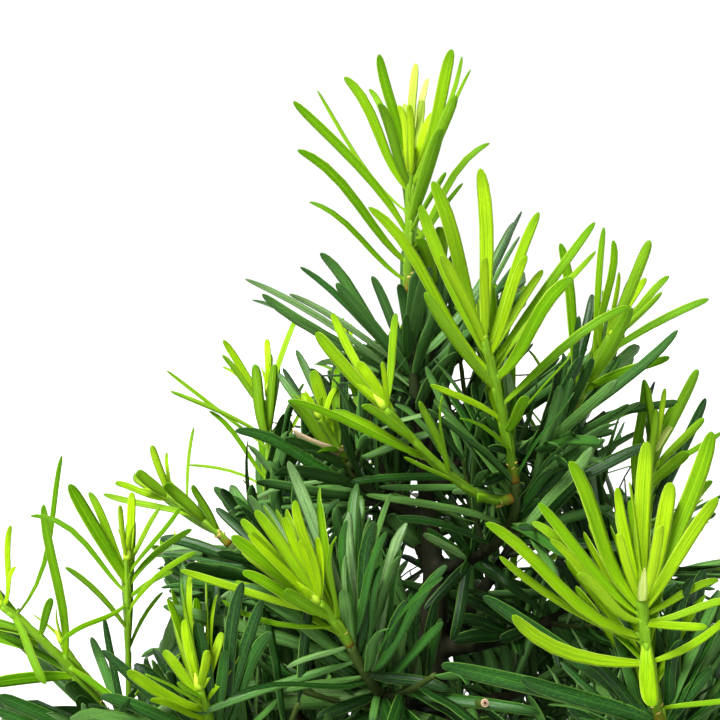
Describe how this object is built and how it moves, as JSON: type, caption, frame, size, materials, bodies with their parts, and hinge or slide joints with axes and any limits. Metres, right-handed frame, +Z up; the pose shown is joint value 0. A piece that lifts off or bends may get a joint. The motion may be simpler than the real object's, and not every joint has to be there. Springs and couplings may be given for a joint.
{
  "type": "buddhist pine bonsai",
  "caption": "Potted evergreen tree: tapering trunk on spreading roots, rising branches, narrow dark leaves and pale new shoots, standing in soil in a rectangular footed pot.",
  "frame": {"origin": "on the surface that the pot stands on, under the middle of the pot and of the tree", "axes": "+Z up along the trunk, +X along the pot's long side, to the right as seen from the front, +Y to the back"},
  "size_m": [0.3748, 0.3526, 0.5037],
  "materials": {
    "stoneware": "unglazed dark red-brown stoneware, matt",
    "screen_plastic": "black plastic mesh",
    "soil": "granular brown potting grit",
    "bark": "thin grey-brown bark, fissured lengthwise",
    "old_leaf": "dark green leathery leaf, satin",
    "new_leaf": "bright yellow-green young leaf, satin"
  },
  "bodies": {
    "root": {"drain_screen_left": "screen_plastic", "drain_screen_right": "screen_plastic", "new_shoot_base_back_left": "new_leaf", "new_shoot_base_back_right": "new_leaf", "new_shoot_centre": "new_leaf", "new_shoot_far_left": "new_leaf", "new_shoot_far_right": "new_leaf", "new_shoot_high_back_left": "new_leaf", "new_shoot_high_back_right": "new_leaf", "new_shoot_lateral": "new_leaf", "new_shoot_leader": "new_leaf", "new_shoot_left_back": "new_leaf", "new_shoot_left_bright": "new_leaf", "new_shoot_left_centre": "new_leaf", "new_shoot_left_upright": "new_leaf", "new_shoot_low_back": "new_leaf", "new_shoot_low_back_left": "new_leaf", "new_shoot_low_back_right": "new_leaf", "new_shoot_low_front": "new_leaf", "new_shoot_low_front_right": "new_leaf", "new_shoot_low_left": "new_leaf", "new_shoot_low_left_back": "new_leaf", "new_shoot_low_right": "new_leaf", "new_shoot_lower_left": "new_leaf", "new_shoot_middle_back": "new_leaf", "new_shoot_middle_back_right": "new_leaf", "new_shoot_near_right": "new_leaf", "new_shoot_right": "new_leaf", "new_shoot_top_back": "new_leaf", "new_shoot_upper_left": "new_leaf", "old_twig_base_back_left": "old_leaf", "old_twig_base_back_right": "old_leaf", "old_twig_centre": "old_leaf", "old_twig_far_left": "old_leaf", "old_twig_far_right": "old_leaf", "old_twig_high_back_left": "old_leaf", "old_twig_high_back_right": "old_leaf", "old_twig_leader": "old_leaf", "old_twig_left_back": "old_leaf", "old_twig_left_bright": "old_leaf", "old_twig_left_centre": "old_leaf", "old_twig_left_upright": "old_leaf", "old_twig_low_back": "old_leaf", "old_twig_low_back_left": "old_leaf", "old_twig_low_back_right": "old_leaf", "old_twig_low_front": "old_leaf", "old_twig_low_front_right": "old_leaf", "old_twig_low_left": "old_leaf", "old_twig_low_left_back": "old_leaf", "old_twig_low_right": "old_leaf", "old_twig_lower_left": "old_leaf", "old_twig_middle_back": "old_leaf", "old_twig_middle_back_right": "old_leaf", "old_twig_near_right": "old_leaf", "old_twig_right": "old_leaf", "old_twig_top_back": "old_leaf", "old_twig_upper_left": "old_leaf", "pot": "stoneware", "soil": "soil", "trunk_and_branches": "bark"}
  },
  "joints": []
}
